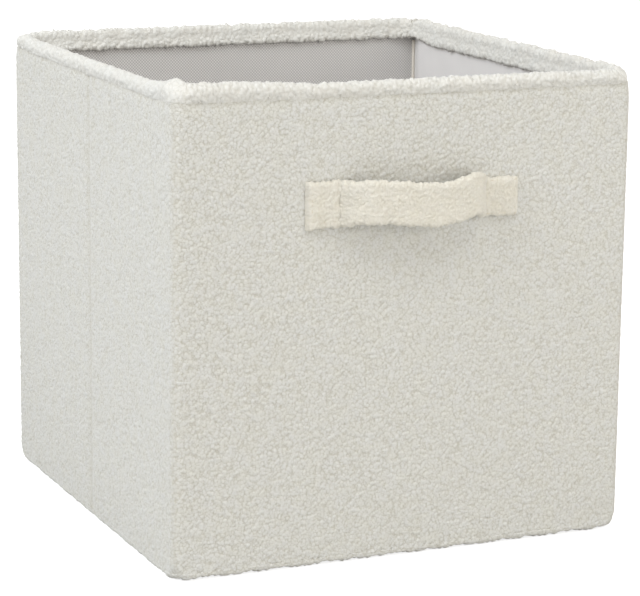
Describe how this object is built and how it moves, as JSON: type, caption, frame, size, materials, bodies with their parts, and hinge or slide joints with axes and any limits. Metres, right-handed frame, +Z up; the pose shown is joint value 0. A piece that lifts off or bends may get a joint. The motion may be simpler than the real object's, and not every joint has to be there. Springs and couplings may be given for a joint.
{
  "type": "fabric storage bin",
  "caption": "Open square storage bin of curly cloth over board panels, with a rolled rim, a strap handle, a tip-up base and creased sides that fold flat.",
  "frame": {"origin": "middle of the underside, on the floor, under the centre of the mouth", "axes": "+Z up out of the mouth, -Y towards the front with the handle, +X to the right seen from the front"},
  "size_m": [0.3, 0.3174, 0.29],
  "materials": {
    "boucle": "matte",
    "rim": "matte",
    "strap": "matte",
    "lining": "matte",
    "tape": "matte",
    "board": "matte"
  },
  "bodies": {
    "back_wall": {"back_cover": "boucle", "back_board": "board", "back_lining": "lining", "back_rim": "rim", "back_left_tape": "tape", "back_right_tape": "tape", "bottom_cover": "boucle", "base_hinge": "lining"},
    "left_rear_leaf": {"left_rear_cover": "boucle", "left_rear_board": "board", "left_rear_lining": "lining", "left_rear_rim": "rim"},
    "left_front_leaf": {"left_front_cover": "boucle", "left_front_board": "board", "left_front_lining": "lining", "left_front_rim": "rim"},
    "right_rear_leaf": {"right_rear_cover": "boucle", "right_rear_board": "board", "right_rear_lining": "lining", "right_rear_rim": "rim"},
    "right_front_leaf": {"right_front_cover": "boucle", "right_front_board": "board", "right_front_lining": "lining", "right_front_rim": "rim"},
    "front_wall": {"front_cover": "boucle", "front_board": "board", "front_lining": "lining", "front_rim": "rim", "front_left_tape": "tape", "front_right_tape": "tape", "handle_left_end": "strap", "handle_right_end": "strap"},
    "handle": {"handle_grip": "strap"},
    "base": {"base_board": "board", "base_sleeve": "lining"}
  },
  "joints": [
    {"name": "left_rear_fold", "type": "hinge", "parent": "back_wall", "child": "left_rear_leaf", "pos_m": [-0.1394, 0.1357, 0], "axis": [0, 0, 1], "range_deg": [0, 88], "deforming": ["bottom_cover"]},
    {"name": "left_crease", "type": "hinge", "parent": "left_rear_leaf", "child": "left_front_leaf", "pos_m": [-0.1502, -0.0009, 0], "axis": [0, 0, 1], "range_deg": [-176, 0]},
    {"name": "left_front_fold", "type": "hinge", "parent": "left_front_leaf", "child": "front_wall", "pos_m": [-0.1394, -0.1375, 0], "axis": [0, 0, 1], "range_deg": [0, 88]},
    {"name": "right_rear_fold", "type": "hinge", "parent": "back_wall", "child": "right_rear_leaf", "pos_m": [0.1394, 0.1357, 0], "axis": [0, 0, 1], "range_deg": [-88, 0]},
    {"name": "right_crease", "type": "hinge", "parent": "right_rear_leaf", "child": "right_front_leaf", "pos_m": [0.1502, -0.0009, 0], "axis": [0, 0, 1], "range_deg": [0, 176]},
    {"name": "base_fold", "type": "hinge", "parent": "back_wall", "child": "base", "pos_m": [0, 0.1393, 0.0051], "axis": [-1, 0, 0], "range_deg": [0, 90]},
    {"name": "handle_lift", "type": "hinge", "parent": "front_wall", "child": "handle", "pos_m": [0.002, -0.15125, 0.2175], "axis": [-1, 0, 0], "range_deg": [-15, 25], "stiffness_Nm_per_rad": 0.06}
  ],
  "couplings": [
    {"joint": "left_crease", "follows": "left_rear_fold", "ratio": -2},
    {"joint": "left_front_fold", "follows": "left_rear_fold", "ratio": 1},
    {"joint": "right_rear_fold", "follows": "left_rear_fold", "ratio": -1},
    {"joint": "right_crease", "follows": "left_rear_fold", "ratio": 2}
  ]
}
